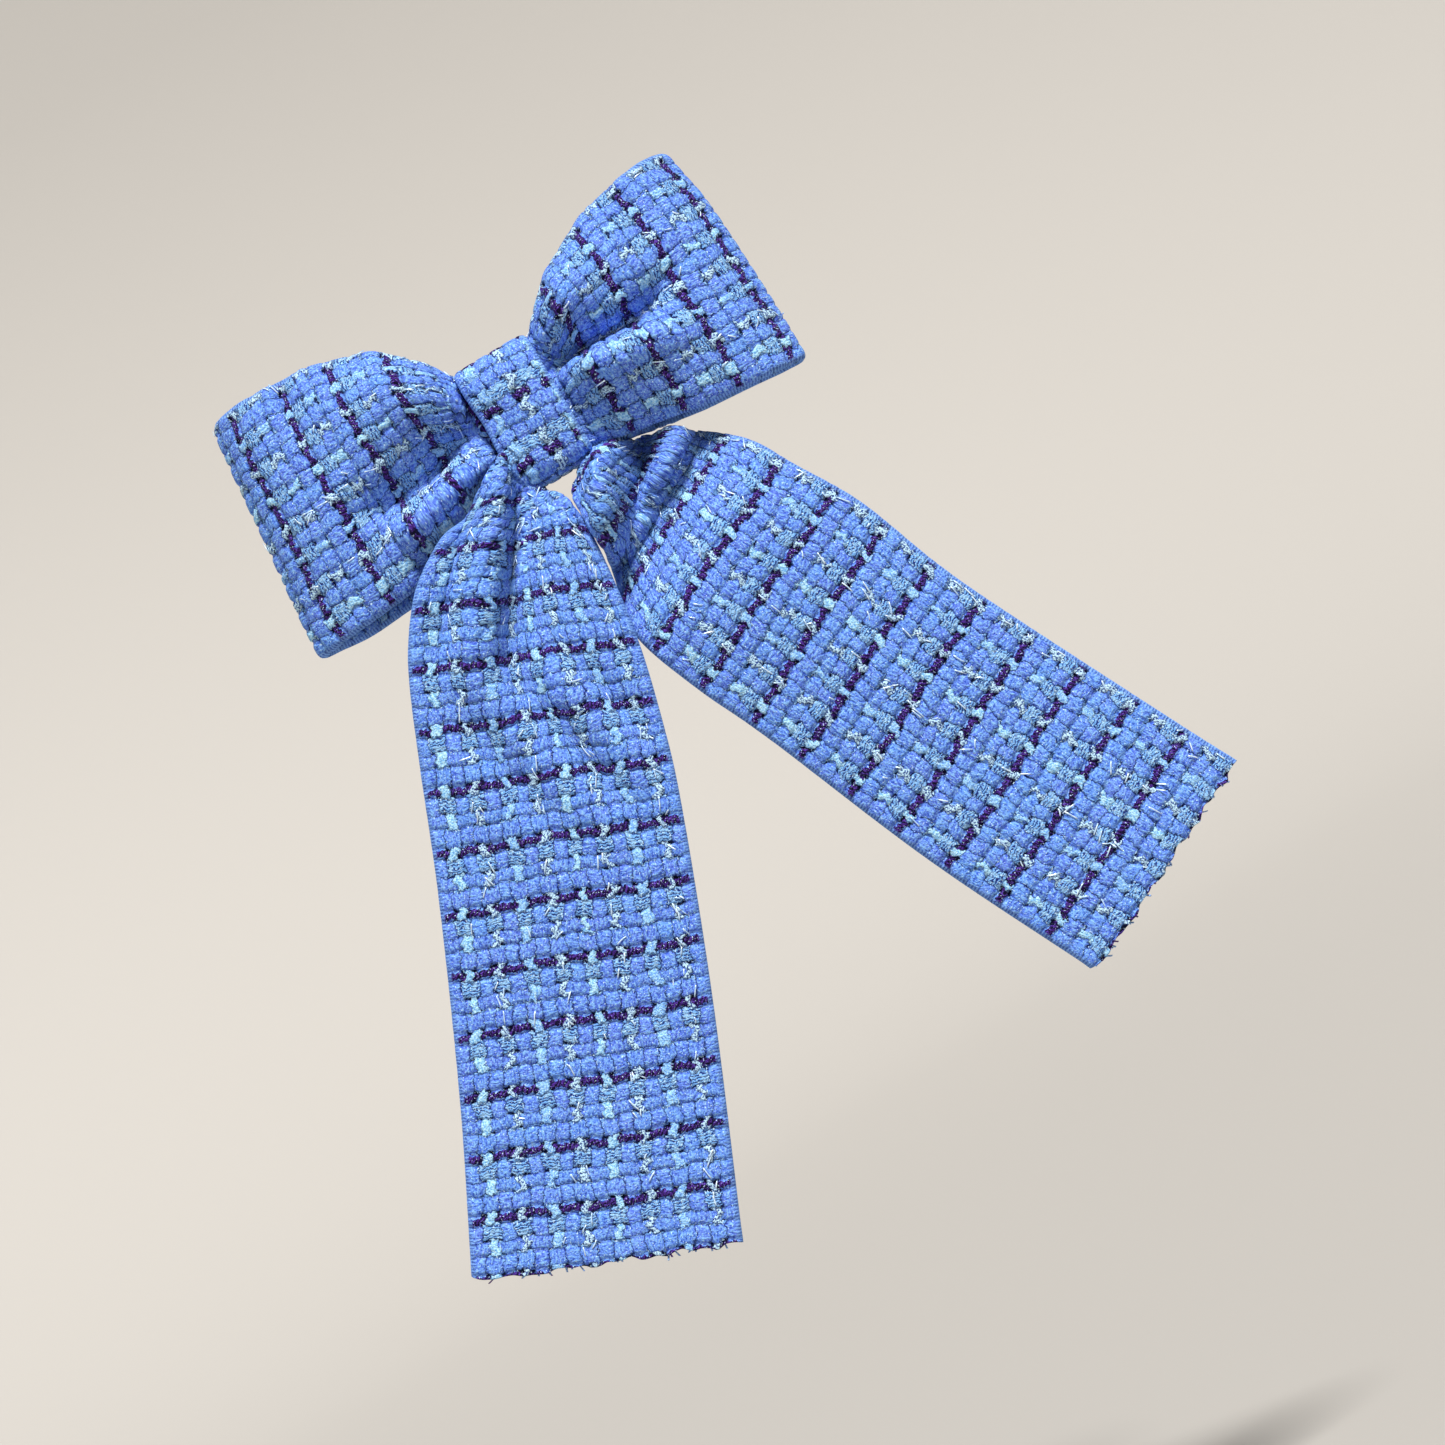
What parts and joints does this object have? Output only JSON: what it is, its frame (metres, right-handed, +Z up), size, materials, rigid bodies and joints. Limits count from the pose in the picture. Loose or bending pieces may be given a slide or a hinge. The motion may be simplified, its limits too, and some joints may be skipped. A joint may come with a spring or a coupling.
{
  "type": "hair bow",
  "caption": "Wide tweed hair bow with two puffed loops, a wrapped knot and two long hanging tails, sewn to a steel snap hair clip.",
  "frame": {"origin": "middle of the gap that grips the hair, between the clip's arm and its tension bar, behind the knot", "axes": "+X along the wings towards the bow's right end as seen from the front, -Y out of the bow's front, +Z up as it is worn"},
  "size_m": [0.2282, 0.0453, 0.2425],
  "materials": {
    "tweed": "chunky boucle tweed, periwinkle and light blue with purple lines and silver flecks",
    "thread": "polyester sewing thread",
    "felt": "wool felt",
    "steel": "nickel-plated spring steel"
  },
  "bodies": {
    "bow": {"bow_loop": "tweed", "knot_wrap": "tweed", "gathering_thread": "thread", "ring_seam_stitch": "thread", "knot_closing_stitch": "thread", "sewing_thread_left": "thread", "sewing_thread_right": "thread", "backing_tab": "felt", "barrette_base": "steel", "hinge_pin": "steel", "catch_plate": "steel", "catch_rivet": "steel"},
    "arm": {"clasp_arm": "steel"},
    "spring_bar": {"tension_bar": "steel"},
    "prong_up": {"upper_prong": "steel"},
    "prong_low": {"lower_prong": "steel"},
    "tail_left": {"left_tail": "tweed"},
    "tail_right": {"right_tail": "tweed"}
  },
  "joints": [
    {"name": "arm_swing", "type": "hinge", "parent": "bow", "child": "arm", "pos_m": [-0.0415, 0.0037, 0], "axis": [0, 0, 1], "range_deg": [0, 95]},
    {"name": "bar_swing", "type": "hinge", "parent": "bow", "child": "spring_bar", "pos_m": [-0.0415, 0.0037, 0], "axis": [0, 0, 1], "range_deg": [0, 14.25]},
    {"name": "upper_squeeze", "type": "hinge", "parent": "bow", "child": "prong_up", "pos_m": [0.0405, 0, 0.0028], "axis": [-1, 0, 0], "range_deg": [0, 8], "stiffness_Nm_per_rad": 0.02},
    {"name": "lower_squeeze", "type": "hinge", "parent": "bow", "child": "prong_low", "pos_m": [0.0405, 0, -0.0028], "axis": [1, 0, 0], "range_deg": [0, 8], "stiffness_Nm_per_rad": 0.02},
    {"name": "left_tail_swing", "type": "hinge", "parent": "bow", "child": "tail_left", "pos_m": [-0.012, -0.0245, -0.004], "axis": [-1, 0, 0], "range_deg": [0, 20]},
    {"name": "right_tail_swing", "type": "hinge", "parent": "bow", "child": "tail_right", "pos_m": [0.007, -0.0185, -0.0185], "axis": [-1, 0, 0], "range_deg": [0, 20]}
  ],
  "couplings": [
    {"joint": "bar_swing", "follows": "arm_swing", "ratio": 0.15},
    {"joint": "lower_squeeze", "follows": "upper_squeeze", "ratio": 1}
  ]
}
